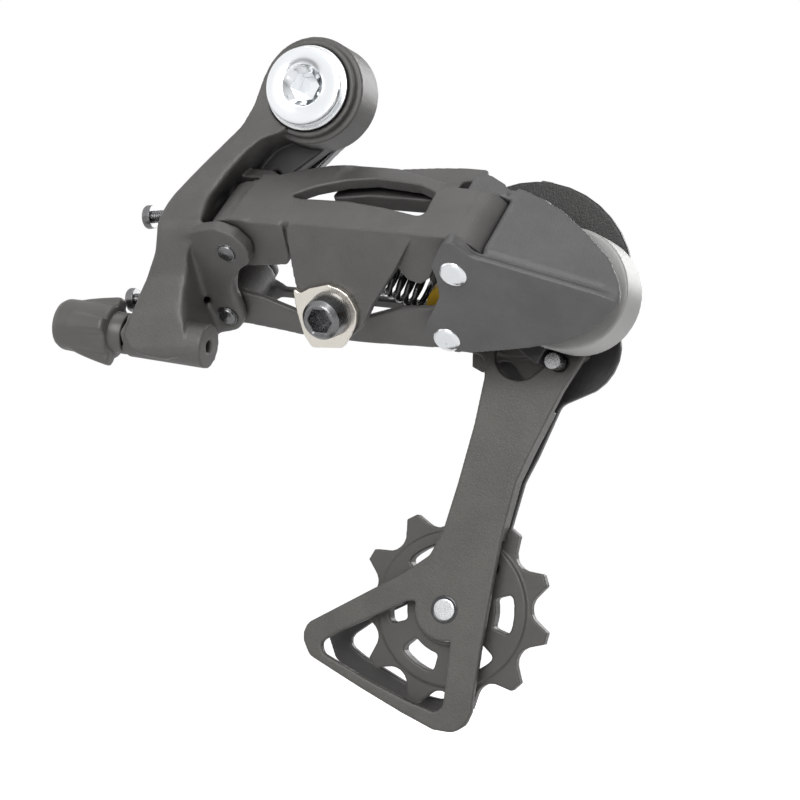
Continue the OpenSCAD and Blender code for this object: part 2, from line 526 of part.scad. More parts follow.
// ---------- cable adjuster; adj_frame z runs rearward out of the bracket ----------
barrel_r = 4.4;
barrel_z = [5, 16.8];
casing_depth = 9;
module adjusting_bolt() color([0.45, 0.45, 0.46]) adj_frame() difference() {
    union() {
        translate([0, 0, -13]) cylinder(r = 2.5, h = 18);
        translate([0, 0, barrel_z[0]]) cylinder(r = barrel_r, h = barrel_z[1] - barrel_z[0]);
    }
    translate([0, 0, barrel_z[1] - casing_depth]) cylinder(r = casing_r, h = casing_depth + 1);
    translate([0, 0, -14]) cylinder(r = 0.8, h = 30, $fn = 24);
}
knob_profile = [[0, 0], [4.8, 0], [4.8, 3.9], [knob_r, 4.3], [knob_r, 6.2], [knob_r - 0.7, 10.5],
    [6.1, 15], [5.3, 17.6], [4.9, 18.4], [0, 18.4]];
module adjuster_knob() color([0.36, 0.35, 0.33]) adj_frame() difference() {
    intersection() {
        union() {
            translate([0, 0, 1.2]) cylinder(r = 4.7, h = 4);
            translate([0, 0, 4]) linear_extrude(height = 15) {
                circle(r = 5.9);
                for (i = [0:knob_ribs - 1]) rotate(i * 360 / knob_ribs + 8) translate([0, -2.3])
                    square([knob_r + 2, 4.6]);
            }
        }
        rotate_extrude() polygon(knob_profile);
    }
    translate([0, 0, barrel_z[0] - fit]) cylinder(r = barrel_r + fit, h = 16);
    cylinder(r = 3.9, h = 5.5);
}
module adjuster_spring() color([0.30, 0.30, 0.30]) adj_frame() rotate_extrude() union() {
    for (i = [0:3]) translate([3.2, 0.5 + i * 1.1]) circle(r = 0.45, $fn = 16);
    translate([3.05, 0.5]) square([0.3, 3.3]);
}

mounting_bolt();
bolt_washer();
stop_plate();
bracket();
pivot_bush();
b_tension_screw();
high_limit_screw();
low_limit_screw();
bracket_outer_pin();
bracket_inner_pin();
outer_link();
inner_link();
return_spring();
cable_washer();
cable_bolt();
cage_outer_pin();
cage_inner_pin();
knuckle_cover();
knuckle_drum();
cage_spring();
spring_bush();
cage_axle();
cage_stop_pin();
outer_plate();
inner_plate();
pulley_bushes();
dust_caps();
pulley_bolts();
guide_pulley();
tension_pulley();
adjusting_bolt();
adjuster_knob();
adjuster_spring();
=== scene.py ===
import json
import math

import bmesh
import bpy
import numpy as np
from mathutils import Matrix, Vector


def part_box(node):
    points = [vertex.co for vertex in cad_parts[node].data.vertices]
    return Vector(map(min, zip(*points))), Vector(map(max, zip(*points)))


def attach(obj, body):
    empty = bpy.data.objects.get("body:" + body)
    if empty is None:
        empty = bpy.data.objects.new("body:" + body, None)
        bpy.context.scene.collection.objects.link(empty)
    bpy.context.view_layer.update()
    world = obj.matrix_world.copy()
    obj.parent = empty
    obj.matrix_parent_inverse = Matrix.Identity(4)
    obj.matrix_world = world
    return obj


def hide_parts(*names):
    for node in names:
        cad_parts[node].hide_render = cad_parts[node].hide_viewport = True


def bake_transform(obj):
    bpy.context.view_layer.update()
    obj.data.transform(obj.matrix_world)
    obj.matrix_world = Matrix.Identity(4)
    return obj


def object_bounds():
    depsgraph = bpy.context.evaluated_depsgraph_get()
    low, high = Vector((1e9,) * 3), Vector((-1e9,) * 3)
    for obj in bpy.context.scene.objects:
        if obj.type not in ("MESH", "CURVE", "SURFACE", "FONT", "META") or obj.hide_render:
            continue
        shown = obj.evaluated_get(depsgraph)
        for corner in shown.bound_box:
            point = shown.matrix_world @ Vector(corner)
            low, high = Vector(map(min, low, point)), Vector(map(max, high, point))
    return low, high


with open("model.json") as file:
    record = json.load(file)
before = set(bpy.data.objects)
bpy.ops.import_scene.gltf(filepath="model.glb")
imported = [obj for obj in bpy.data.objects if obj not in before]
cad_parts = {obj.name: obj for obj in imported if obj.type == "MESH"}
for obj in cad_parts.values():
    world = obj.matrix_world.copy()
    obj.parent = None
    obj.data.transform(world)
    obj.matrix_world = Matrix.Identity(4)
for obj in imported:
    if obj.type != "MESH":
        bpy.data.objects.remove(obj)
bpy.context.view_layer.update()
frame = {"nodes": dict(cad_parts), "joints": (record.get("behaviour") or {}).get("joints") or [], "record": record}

MM = 0.001
joints = {j["name"]: j for j in frame["joints"]}
nodes = frame["nodes"]


# ---------- places, all worked out from the frame ----------
def joint_at(name):
    return Vector(joints[name]["pos_m"])


def joint_axis(name):
    return Vector(joints[name]["axis"]).normalized()


def placed(origin, z_axis, x_hint):
    """A matrix at origin whose z runs along z_axis and whose x is nearest to x_hint."""
    z = Vector(z_axis).normalized()
    y = z.cross(Vector(x_hint)).normalized()
    return Matrix.Translation(origin) @ Matrix((y.cross(z), y, z)).transposed().to_4x4()


pin_axis = joint_axis("outer_link_swing")
pin_mid = 12 * MM  # how far the stated point of the outer pins lies along them
link_run = joint_at("knuckle_swing") - joint_at("outer_link_swing")
link_frame = placed(joint_at("outer_link_swing") - pin_mid * pin_axis, pin_axis, link_run)
in_b = (-5.5, 19.0)  # inner pin at the bracket, link frame, mm
link_l = link_run.length / MM
in_p = (in_b[0] + link_l, in_b[1])
cage_centre = joint_at("cage_swing")
guide_centre = joint_at("guide_pulley_spin")
tension_centre = joint_at("tension_pulley_spin")
adjuster_axis = joint_axis("adjuster_travel")
adjuster_turn_at = joint_at("adjuster_turn")
CLAMP_TILT = -22  # degrees, about the clamp plate's upper edge
clamp_edge = Matrix.Translation((0, -7 * MM, 4 * MM))
clamp_frame = link_frame @ clamp_edge @ Matrix.Rotation(math.radians(CLAMP_TILT), 4, "X")
clamp_at = (25.3, 19.5)


# ---------- mesh helpers ----------
def new_object(name, mesh):
    obj = bpy.data.objects.new(name, mesh)
    bpy.context.scene.collection.objects.link(obj)
    return obj


def smooth_shade(mesh, angle=None):
    mesh.polygons.foreach_set("use_smooth", [True] * len(mesh.polygons))
    if angle is not None:
        mesh.set_sharp_from_angle(angle=math.radians(angle))


def relax(mesh, rounds, weight=None, step=0.5, back=-0.53):
    """Rounds a mesh's edges. With back it keeps its volume; with back 0 it rounds more, and shrinks."""
    count = len(mesh.vertices)
    co = np.empty(count * 3)
    mesh.vertices.foreach_get("co", co)
    co = co.reshape(-1, 3)
    edges = np.empty(len(mesh.edges) * 2, int)
    mesh.edges.foreach_get("vertices", edges)
    a, b = edges[0::2], edges[1::2]
    degree = np.bincount(edges, minlength=count)[:, None]
    free = np.ones(count) if weight is None else weight(co / MM)
    for _ in range(rounds):
        for share in (step, back):
            if share == 0:
                continue
            total = np.stack([np.bincount(a, co[b, k], count) + np.bincount(b, co[a, k], count)
                              for k in range(3)], 1)
            co = co + share * free[:, None] * (total / degree - co)
    mesh.vertices.foreach_set("co", co.ravel())
    mesh.update()


def move_points(mesh, press):
    co = np.empty(len(mesh.vertices) * 3)
    mesh.vertices.foreach_get("co", co)
    co = co.reshape(-1, 3)
    co = co + MM * press(co / MM)
    mesh.vertices.foreach_set("co", co.ravel())
    mesh.update()


def paint_faces(obj, slot_look, chosen):
    """Gives the faces that chosen picks, from their centres in mm and their normals, a second material."""
    mesh = obj.data
    mesh.materials.append(slot_look)
    count = len(mesh.polygons)
    centre, normal = np.empty(count * 3), np.empty(count * 3)
    mesh.polygons.foreach_get("center", centre)
    mesh.polygons.foreach_get("normal", normal)
    picked = chosen(centre.reshape(-1, 3) / MM, normal.reshape(-1, 3))
    mesh.polygons.foreach_set("material_index", picked.astype(int) * (len(mesh.materials) - 1))


def softened(name, node, voxel, rounds, grid=Matrix.Identity(4), melt=(), press=None):
    """A copy of a CAD node with its edges rounded as a casting's or a moulding's are.
    grid is the frame the voxels line up with, melt holds (rounds, weight) passes, and press gives
    each point, in grid's millimetres, the step it is pressed or raised by."""
    bm = bmesh.new()
    bm.from_mesh(nodes[node].data)
    bmesh.ops.remove_doubles(bm, verts=bm.verts, dist=1e-7)
    bmesh.ops.transform(bm, matrix=grid.inverted(), verts=bm.verts)
    mesh = bpy.data.meshes.new(name)
    bm.to_mesh(mesh)
    bm.free()
    obj = new_object(name, mesh)
    remesh = obj.modifiers.new("voxels", "REMESH")
    remesh.mode = "VOXEL"
    remesh.voxel_size = voxel * MM
    graph = bpy.context.evaluated_depsgraph_get()
    fine = bpy.data.meshes.new_from_object(obj.evaluated_get(graph))
    obj.modifiers.clear()
    obj.data = fine
    relax(fine, rounds)
    for count, weight in melt:
        relax(fine, count, weight, back=0)
    if press is not None:
        move_points(fine, press)
    fine.transform(grid)
    smooth_shade(fine)
    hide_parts(node)
    return obj


def ring_mesh(rings, name):
    """A closed mesh through rings of equally many points, in metres, with flat ends."""
    rings = np.array(rings, float)
    count, sides = rings.shape[:2]
    faces = []
    for i in range(count - 1):
        for j in range(sides):
            k = (j + 1) % sides
            faces.append((i * sides + j, i * sides + k, (i + 1) * sides + k, (i + 1) * sides + j))
    faces.append(tuple(range(sides))[::-1])
    faces.append(tuple((count - 1) * sides + j for j in range(sides)))
    mesh = bpy.data.meshes.new(name)
    mesh.from_pydata(rings.reshape(-1, 3).tolist(), [], faces)
    mesh.validate()
    bm = bmesh.new()
    bm.from_mesh(mesh)
    bmesh.ops.recalc_face_normals(bm, faces=bm.faces)
    bm.to_mesh(mesh)
    bm.free()
    return mesh


def hexagon(across):
    """Radius of a hexagon, across its flats, at each angle."""
    return lambda a: across / 2 / np.cos(np.mod(a, math.pi / 3) - math.pi / 6)


def cross(length, width):
    """Radius of a cross of that length and arm width at each angle."""
    def radius(a):
        f = np.abs(np.mod(a + math.pi / 4, math.pi / 2) - math.pi / 4)
        return np.minimum(length / 2 / np.cos(f), width / 2 / np.maximum(np.sin(f), 1e-6))
    return radius


def thread(major, depth, pitch, z0, z1, steps=10):
    """Rings of a screw thread as (radius function, height)."""
    rings = []
    for z in np.arange(z0, z1 + 1e-9, pitch / steps):
        edge = min(1.0, (z - z0) / pitch + 0.001, (z1 - z) / pitch + 0.001)
        rings.append((lambda a, z=z, edge=edge: major - depth * edge * np.clip(
            1.25 * np.abs(2 * np.mod(z / pitch - a / (2 * math.pi), 1) - 1) - 0.1, 0, 1), z))
    return rings


def turned(name, matrix, profile, segments=96, sharp=32):
    """A solid turned about matrix's z.
    profile is (radius or radius function, height) in mm, from one end to the other."""
    angles = np.arange(segments) * 2 * math.pi / segments
    rings = []
    for radius, z in profile:
        r = radius(angles) if callable(radius) else np.full(segments, float(radius))
        rings.append(np.stack([r * np.cos(angles), r * np.sin(angles), np.full(segments, z)], 1) * MM)
    mesh = ring_mesh(rings, name)
    mesh.transform(matrix)
    smooth_shade(mesh, sharp)
    return new_object(name, mesh)


def ring(name, matrix, profile, segments=64, sharp=40):
    """A closed ring turned about matrix's z. profile runs once round its section, in mm, and its last
    point is its first. A radius or a height may be a function of the angle."""
    profile = profile[:-1]
    angles = np.arange(segments) * 2 * math.pi / segments
    verts, faces, n = [], [], len(profile)
    for a in angles:
        for point in profile:
            r, z = [value(a) if callable(value) else value for value in point]
            verts.append((r * math.cos(a) * MM, r * math.sin(a) * MM, z * MM))
    for i in range(segments):
        for j in range(n):
            k, m = (i + 1) % segments, (j + 1) % n
            faces.append((i * n + j, k * n + j, k * n + m, i * n + m))
    mesh = bpy.data.meshes.new(name)
    mesh.from_pydata(verts, [], faces)
    bm = bmesh.new()
    bm.from_mesh(mesh)
    bmesh.ops.recalc_face_normals(bm, faces=bm.faces)
    bm.to_mesh(mesh)
    bm.free()
    mesh.transform(matrix)
    smooth_shade(mesh, sharp)
    return new_object(name, mesh)


def rounded_edge(radius, z, turn, size, steps=4):
    """Profile points of a rounded outer edge. turn is 1 for an upper edge and -1 for a lower one."""
    points = []
    for i in range(steps + 1):
        a = i / steps * math.pi / 2
        points.append((radius - size + size * math.cos(a), z - turn * size + turn * size * math.sin(a)))
    return points if turn > 0 else points[::-1]


def tube(name, points, radius, sides=12):
    """A round wire through points, in metres."""
    points = np.array(points, float)
    ahead = np.gradient(points, axis=0)
    ahead /= np.linalg.norm(ahead, axis=1)[:, None]
    side = np.cross(ahead[0], [0.3, 0.5, 0.8])
    rings = []
    for p, t in zip(points, ahead):
        side = side - t * (side @ t)
        side /= np.linalg.norm(side)
        up = np.cross(t, side)
        a = np.arange(sides) * 2 * math.pi / sides
        rings.append(p + radius * MM * (np.cos(a)[:, None] * side + np.sin(a)[:, None] * up))
    mesh = ring_mesh(rings, name)
    smooth_shade(mesh, 60)
    return new_object(name, mesh)


def in_frame(matrix, x, y, z):
    return matrix @ Vector((x * MM, y * MM, z * MM))


# ---------- materials ----------
def node_of(tree, kind, **values):
    node = tree.nodes.new("ShaderNode" + kind)
    for key, value in values.items():
        if key in node.inputs:
            node.inputs[key].default_value = value
        else:
            setattr(node, key, value)
    return node


def noise(tree, coords, size_mm, detail=3.0, rough=0.55, stretch=None):
    if stretch is not None:
        mapping = node_of(tree, "Mapping", Scale=stretch)
        tree.links.new(coords, mapping.inputs["Vector"])
        coords = mapping.outputs["Vector"]
    texture = node_of(tree, "TexNoise", Scale=1 / (size_mm * MM), Detail=detail, Roughness=rough)
    tree.links.new(coords, texture.inputs["Vector"])
    return texture.outputs["Fac"]


def ramped(tree, value, low, high, to_low=0.0, to_high=1.0):
    node = node_of(tree, "MapRange")
    tree.links.new(value, node.inputs["Value"])
    for key, number in zip(("From Min", "From Max", "To Min", "To Max"), (low, high, to_low, to_high)):
        node.inputs[key].default_value = number
    return node.outputs["Result"]


def mixed(tree, factor, a, b):
    node = node_of(tree, "Mix", data_type="RGBA")
    tree.links.new(factor, node.inputs["Factor"])
    for socket, colour in ((node.inputs[6], a), (node.inputs[7], b)):
        if isinstance(colour, bpy.types.NodeSocket):
            tree.links.new(colour, socket)
        else:
            socket.default_value = (*colour, 1)
    return node.outputs[2]


def times(tree, a, b):
    node = node_of(tree, "Math", operation="MULTIPLY")
    tree.links.new(a, node.inputs[0])
    tree.links.new(b, node.inputs[1])
    return node.outputs[0]


def material(name, colour, metallic=0.0, rough=0.5, vary=0.12, patch_mm=9.0, grain_mm=0.35, grain=0.25,
             wear=0.0, wear_colour=(0.5, 0.5, 0.5), edge_mm=0.25, brushed=None, coat=0.0, specular=0.5,
             painted_corner_shade=0.0, deep=0.04, corner_mm=5.0, painted_top_shadow=None):
    """A procedural surface: patches of colour, fine grain in bump and roughness, wear along edges,
    painted shade in corners and recesses, and, given two heights in mm, a painted shadow darkening between them."""
    mat = bpy.data.materials.new(name)
    mat.use_nodes = True
    tree = mat.node_tree
    tree.nodes.clear()
    out = node_of(tree, "OutputMaterial")
    shader = node_of(tree, "BsdfPrincipled", Metallic=metallic)
    shader.inputs["Coat Weight"].default_value = coat
    shader.inputs["Coat Roughness"].default_value = 0.15
    shader.inputs["Specular IOR Level"].default_value = specular
    coords = node_of(tree, "TexCoord").outputs["Object"]
    patches = noise(tree, coords, patch_mm, 4.0)
    fine = noise(tree, coords, grain_mm, 3.0, 0.6, brushed)
    dark = [c * (1 - vary) for c in colour]
    light = [min(1, c * (1 + vary)) for c in colour]
    tint = mixed(tree, ramped(tree, patches, 0.35, 0.65), dark, light)
    speck = mixed(tree, ramped(tree, fine, 0.3, 0.7), [c * (1 - vary * 0.8) for c in colour], light)
    half = node_of(tree, "Value")
    half.outputs[0].default_value = 0.5
    tint = mixed(tree, half.outputs[0], tint, speck)
    bevel = node_of(tree, "Bevel", Radius=edge_mm * MM)
    bevel.samples = 4
    if wear > 0:
        geometry = node_of(tree, "NewGeometry")
        dot = node_of(tree, "VectorMath", operation="DOT_PRODUCT")
        tree.links.new(bevel.outputs["Normal"], dot.inputs[0])
        tree.links.new(geometry.outputs["Normal"], dot.inputs[1])
        edge = ramped(tree, dot.outputs["Value"], 0.985, 0.86, 0, wear)
        patchy = ramped(tree, noise(tree, coords, 1.3, 5.0), 0.38, 0.6)
        tint = mixed(tree, times(tree, edge, patchy), tint, wear_colour)
    # Painted shade: ambient occlusion darkens the colour in corners, recesses and under nearby parts, towards 0.12
    # of it.
    if painted_corner_shade > 0:
        corner = node_of(tree, "AmbientOcclusion", Distance=corner_mm * MM)
        corner.samples = 6
        shade = ramped(tree, corner.outputs["AO"], 0.15, 0.75, 1 - painted_corner_shade, 1)
        tint = mixed(tree, shade, [c * 0.12 for c in colour], tint)
    # Painted shadow: the colour darkens towards 0.22 of itself from the lower height to the upper, and stays so
    # above it.
    if painted_top_shadow is not None:
        split = node_of(tree, "SeparateXYZ")
        tree.links.new(coords, split.inputs[0])
        height = ramped(tree, split.outputs["Z"], painted_top_shadow[0] * MM, painted_top_shadow[1] * MM)
        tint = mixed(tree, height, tint, [c * 0.22 for c in colour])
    tree.links.new(tint, shader.inputs["Base Color"])
    sheen = ramped(tree, fine, 0.25, 0.75, rough * 0.85, min(1, rough * 1.15))
    tree.links.new(sheen, shader.inputs["Roughness"])
    bump = node_of(tree, "Bump", Strength=grain, Distance=deep * MM)
    tree.links.new(fine, bump.inputs["Height"])
    tree.links.new(bevel.outputs["Normal"], bump.inputs["Normal"])
    tree.links.new(bump.outputs["Normal"], shader.inputs["Normal"])
    tree.links.new(shader.outputs[0], out.inputs["Surface"])
    return mat


# These paints carry strong painted shade in their corners and recesses.
PAINT = dict(metallic=0.15, rough=0.45, vary=0.18, grain=0.85, grain_mm=0.42, wear=0.35,
             wear_colour=(0.22, 0.22, 0.215), painted_corner_shade=0.8, deep=0.10)
looks = {
    "cast_dark": material("cast_dark", (0.088, 0.086, 0.082), **PAINT),
    "link_dark": material("link_dark", (0.088, 0.086, 0.083), **PAINT),
    "cover_grey": material("cover_grey", (0.092, 0.091, 0.091), **PAINT),
    # The cage plates' paint carries painted shade reaching 16 mm from corners and a painted shadow of the cover
    # over their tops, above -68 mm.
    "cage_dark": material("cage_dark", (0.080, 0.077, 0.071), corner_mm=16.0, painted_top_shadow=(-68, -57), **PAINT),
    # The drum's paint carries painted shade in its corners.
    "drum_silver": material("drum_silver", (0.33, 0.33, 0.32), metallic=0.25, rough=0.5, vary=0.05,
                            grain=0.35, wear=0.3, wear_colour=(0.5, 0.5, 0.49), painted_corner_shade=0.6),
    "chrome_bolt": material("chrome_bolt", (0.86, 0.88, 0.90), metallic=1.0, rough=0.16, vary=0.04,
                            grain=0.10, grain_mm=0.2, wear=0.2, wear_colour=(0.95, 0.95, 0.95)),
    "plated_steel": material("plated_steel", (0.62, 0.63, 0.64), metallic=1.0, rough=0.28, vary=0.10,
                             grain=0.2, grain_mm=0.2, wear=0.3, wear_colour=(0.85, 0.85, 0.85)),
    "washer_steel": material("washer_steel", (0.80, 0.76, 0.69), metallic=1.0, rough=0.24, vary=0.06,
                             grain=0.15, wear=0.3, wear_colour=(0.95, 0.92, 0.86)),
    "black_steel": material("black_steel", (0.20, 0.20, 0.205), metallic=1.0, rough=0.27, vary=0.15,
                            grain=0.2, grain_mm=0.25, wear=0.4, wear_colour=(0.55, 0.55, 0.55)),
    "spring_steel": material("spring_steel", (0.035, 0.035, 0.038), metallic=0.6, rough=0.20, vary=0.2,
                             grain=0.2, coat=0.6),
    "ochre_plastic": material("ochre_plastic", (0.50, 0.31, 0.025), rough=0.45, vary=0.10, grain=0.3),
    "pulley_plastic": material("pulley_plastic", (0.062, 0.059, 0.054), rough=0.42, vary=0.12, grain=0.4,
                               grain_mm=0.4, wear=0.25, wear_colour=(0.16, 0.155, 0.15)),
    "knob_plastic": material("knob_plastic", (0.085, 0.081, 0.075), rough=0.36, vary=0.08, grain=0.25,
                             wear=0.25, wear_colour=(0.2, 0.2, 0.19)),
    "bush_metal": material("bush_metal", (0.40, 0.34, 0.25), metallic=0.9, rough=0.45, vary=0.15,
                           grain=0.4),
}
# Near-black painted shade, laid on the bracket's recessed web and on the drum's stop block.
painted_pit_shade = material("painted_pit_shade", (0.018, 0.017, 0.018), rough=0.4, vary=0.15, grain=0.5, grain_mm=0.3)
# Darker paint standing for the shade the inner cage plate sits in: painted shade.
cage_painted_shade = material("cage_painted_shade", (0.030, 0.029, 0.028), rough=0.4, vary=0.12, grain=0.4,
                      grain_mm=0.3, wear=0.3, wear_colour=(0.12, 0.12, 0.115))


def finish_as(obj, slot):
    obj.data.materials.clear()
    obj.data.materials.append(looks[slot])
    return obj


def piece(obj, body, slot):
    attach(obj, body)
    return finish_as(obj, slot)


node_slots = {s["node"]: s["material_slot"] for s in frame["record"]["subparts"] if s.get("material_slot")}
for name, obj in nodes.items():
    obj.data.materials.clear()
    obj.data.materials.append(looks[node_slots[name]])


# ---------- hanger bolt ----------
def build_hanger_bolt():
    place = placed(Vector((0, 0, 0)), (0, 1, 0), (1, 0, 0))
    head, face = 8.75, -19.0
    profile = [(0.01, face + 6), (hexagon(6), face + 6), (hexagon(6), face + 1.7),
               (hexagon(6.3), face + 1.5), (4.3, face + 0.9), (4.75, face + 0.12), (4.95, face)]
    profile += rounded_edge(head, face, -1, 0.25) + [(head, -16.4), (head - 0.1, -16.3)]
    profile += [(6, -16.3), (6, -2.7), (5.4, -2.7), (5.4, -0.2), (4.3, 0.05)]
    profile += thread(5.0, 0.62, 1.0, 0.1, 8.6) + [(4.3, 8.9), (0.01, 8.99)]
    bolt = turned("hanger_bolt_turned", place, profile)
    piece(bolt, "hanger_bolt", "chrome_bolt")
    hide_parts("mounting_bolt")
    piece(softened("stop_plate_pressed", "stop_plate", 0.22, 4), "hanger_bolt", "black_steel")


# ---------- castings ----------
def near_line(co, point, axis, inner, outer):
    """0 within inner mm of a line, 1 beyond outer mm."""
    p, n = np.array(point) / MM, np.array(axis)
    d = co - p
    r = np.linalg.norm(d - np.outer(d @ n, n), axis=1)
    t = np.clip((r - inner) / (outer - inner), 0, 1)
    return t * t * (3 - 2 * t)


def step(values, low, high):
    t = np.clip((values - low) / (high - low), 0, 1)
    return t * t * (3 - 2 * t)


def bracket_melt(co):
    """The arm is melted into a rounded strap; the boss and lugs keep their form."""
    arm = step(-co[:, 2], 6, 12) * step(-co[:, 0], 12, 17)
    arm = arm * near_line(co, joint_at("outer_link_swing"), pin_axis, 8, 12)
    return arm * near_line(co, adjuster_turn_at, adjuster_axis, 5.5, 8)


def web_faces(centre, normal):
    """The recessed web between the bracket's arm and its boss, which is painted near-black as shade."""
    inside = (centre[:, 1] > -7.9) & (centre[:, 1] < -6.3) & (normal[:, 1] < -0.5)
    return inside & (centre[:, 0] > -26) & (centre[:, 2] > -26)


LEAN = (-0.51, 0.65, 0.72)  # which way the outer link's band leans, link frame


def tilted_band(co):
    """Leans the outer link's band above its window back from a crease at its lower edge. Link frame, mm."""
    sill = np.interp(co[:, 0], [9, 11.4, 16.4, 22.7, 29.5, 40.4, 45, 50],
                     [13.0, 13.6, 17.6, 20.5, 21.9, 20.9, 18.8, 20.6])
    rise = np.maximum(0, co[:, 2] - sill)
    front = 1 - step(co[:, 1], -4.0, -3.0)
    across = step(co[:, 0], 19, 24) * (1 - step(co[:, 0], 44, 47))
    away = 0.8 * rise * front * across
    return away[:, None] * np.array(LEAN)


def panel_bead(co):
    """Raises a lip along the cover's lower edge and presses a groove behind it. Link frame, mm."""
    along = (co[:, 0] - 60) / 32
    edge_y = -4.9 + 8.1 * along
    above, front = co[:, 2], co[:, 1] - edge_y
    reach = step(co[:, 0], 55, 60) * (1 - step(co[:, 0], 86, 91)) * (1 - step(front, 1.2, 3.0))
    lip = 0.42 * np.exp(-((above - 0.7) / 0.8) ** 2)
    groove = 0.85 * np.exp(-((above - 2.9) / 1.2) ** 2)
    move = np.zeros_like(co)
    move[:, 1] = reach * (groove - lip)
    return move


def build_castings():
    bracket = softened("bracket_casting", "bracket", 0.32, 9, melt=[(46, bracket_melt)])
    piece(bracket, "bracket", "cast_dark")
    # painted shade: the recessed web is painted near-black
    paint_faces(bracket, painted_pit_shade, web_faces)
    outer = softened("outer_link_casting", "outer_link", 0.29, 4, grid=link_frame, press=tilted_band)
    piece(outer, "outer_link", "link_dark")
    inner = softened("inner_link_casting", "inner_link", 0.32, 5, grid=link_frame)
    piece(inner, "inner_link", "link_dark")
    cover = softened("knuckle_cover_casting", "knuckle_cover", 0.29, 9, grid=link_frame, press=panel_bead)
    piece(cover, "knuckle", "cover_grey")
    drum = softened("knuckle_drum_casting", "knuckle_drum", 0.32, 3)
    piece(drum, "knuckle", "drum_silver")
    # painted shade: the drum's stop block, beyond 13.8 mm from the cage axis, is painted near-black
    paint_faces(drum, painted_pit_shade, lambda centre, normal: np.hypot(
        centre[:, 0] - cage_centre.x / MM, centre[:, 2] - cage_centre.z / MM) > 13.8)
    for node in ("outer_plate", "inner_plate"):
        plate = softened(node + "_pressed", node, 0.32, 4)
        piece(plate, "cage", "cage_dark")
        # the inner plate gets the darker paint as painted shade
        if node == "inner_plate":
            plate.data.materials[0] = cage_painted_shade


# ---------- pulleys ----------
def build_pulleys():
    for node in ("guide_pulley", "tension_pulley"):
        wheel = softened(node + "_moulded", node, 0.25, 3)
        piece(wheel, node, "pulley_plastic")


# ---------- pins, screws and bolts ----------
def build_pins():
    length = {"outer": 24.2, "inner": 19.0}
    spots = {"bracket_outer_pin": ((0, 0), "bracket", "outer"),
             "bracket_inner_pin": (in_b, "bracket", "inner"),
             "cage_outer_pin": ((link_l, 0), "knuckle", "outer"),
             "cage_inner_pin": (in_p, "knuckle", "inner")}
    domed = [(0.01, -0.92), (0.5, -0.9), (0.75, -0.82), (1.0, -0.9), (1.6, -0.86), (2.3, -0.72),
             (2.8, -0.5), (3.1, -0.22), (3.2, 0.0)]
    staked = [(0.01, -0.55), (0.5, -0.55), (0.8, -0.45), (1.5, -0.5), (1.9, -0.42), (2.05, -0.2),
              (2.08, 0.02), (2.2, -0.02), (2.5, 0.0)]
    for node, (at, body, kind) in spots.items():
        place = link_frame @ Matrix.Translation((at[0] * MM, at[1] * MM, 0))
        chrome = body == "knuckle"
        profile = (domed if chrome else staked) + [(2.0, 0.02), (2.0, length[kind] - 0.3)]
        profile += [(1.7, length[kind]), (0.01, length[kind])]
        pin = turned(node + "_turned", place, profile, 64, 40)
        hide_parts(node)
        piece(pin, body, "chrome_bolt" if chrome else "black_steel")


def build_screws():
    screws = {"b_tension_screw": "b_screw", "high_limit_screw": "high_screw",
              "low_limit_screw": "low_screw"}
    for node, body in screws.items():
        low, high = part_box(node)
        length = (high.x - low.x) / MM
        centre = (low + high) / 2
        place = placed(Vector((high.x, centre.y, centre.z)), (-1, 0, 0), (0, 1, 0))
        shank = length - 2.4
        profile = [(0.01, 0), (0.9, 0.0), (1.2, 0.3)] + thread(1.5, 0.3, 0.5, 0.35, shank - 0.05, 8)
        profile += [(1.3, shank), (2.7, shank + 0.02)] + rounded_edge(2.8, shank + 2.2, 1, 0.9)
        profile += [(cross(3.9, 0.95), length - 0.18), (cross(3.5, 0.8), length - 1.0)]
        profile += [(0.01, length - 1.3)]
        screw = turned(node + "_turned", place, profile, 96, 30)
        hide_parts(node)
        piece(screw, body, "black_steel")


def build_cable_clamp():
    washer = softened("cable_washer_pressed", "cable_washer", 0.14, 5, grid=clamp_frame)
    piece(washer, "outer_link", "washer_steel")
    place = clamp_frame @ Matrix.Translation((clamp_at[0] * MM, clamp_at[1] * MM, 0))
    profile = [(0.01, -2.8), (hexagon(5), -2.8), (hexagon(5), -6.8), (hexagon(5.4), -7.05), (3.35, -7.2)]
    profile += [(3.55, -7.14), (3.75, -6.95), (4.25, -6.3), (4.45, -6.1), (4.75, -4.6), (5.0, -2.1)]
    profile += [(5.1, -1.7), (5.0, -1.6), (2.5, -1.6), (2.5, 2.4)]
    profile += thread(2.5, 0.35, 0.8, 2.4, 3.5, 8) + [(0.01, 3.59)]
    bolt = turned("cable_bolt_turned", place, profile, 96, 28)
    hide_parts("cable_bolt")
    piece(bolt, "outer_link", "black_steel")


def build_pulley_bolts():
    low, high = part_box("pulley_bolts")
    front, back = low.y / MM, high.y / MM
    for name, at in (("guide", guide_centre), ("tension", tension_centre)):
        place = placed(Vector((at.x, 0, at.z)), (0, 1, 0), (1, 0, 0))
        profile = [(0.01, front), (1.9, front)] + rounded_edge(2.5, front, -1, 0.3)
        profile += [(2.5, back - 2.1), (4.2, back - 2.1)] + rounded_edge(4.2, back, 1, 0.5)
        profile += [(hexagon(3.2), back), (hexagon(3), back - 0.2), (hexagon(3), back - 1.5)]
        profile += [(0.01, back - 1.5)]
        bolt = turned("pulley_bolt_" + name, place, profile, 96, 30)
        if name == "guide":
            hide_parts("pulley_bolts")
        piece(bolt, "cage", "plated_steel")
        lip = [(2.5, front + 0.34), (2.52, front + 0.2), (2.75, front + 0.14), (3.05, front + 0.18),
               (3.2, front + 0.32), (3.2, front + 0.9), (2.5, front + 0.9), (2.5, front + 0.34)]
        piece(ring("axle_lip_" + name, place, lip), "cage", "spring_steel")


# ---------- springs ----------
def coil_points(matrix, radius, z0, z1, turns, per_turn=28):
    count = int(turns * per_turn)
    points = []
    for i in range(count + 1):
        t = i / count
        a = 2 * math.pi * turns * t
        points.append(in_frame(matrix, radius * math.cos(a), radius * math.sin(a), z0 + (z1 - z0) * t))
    return points


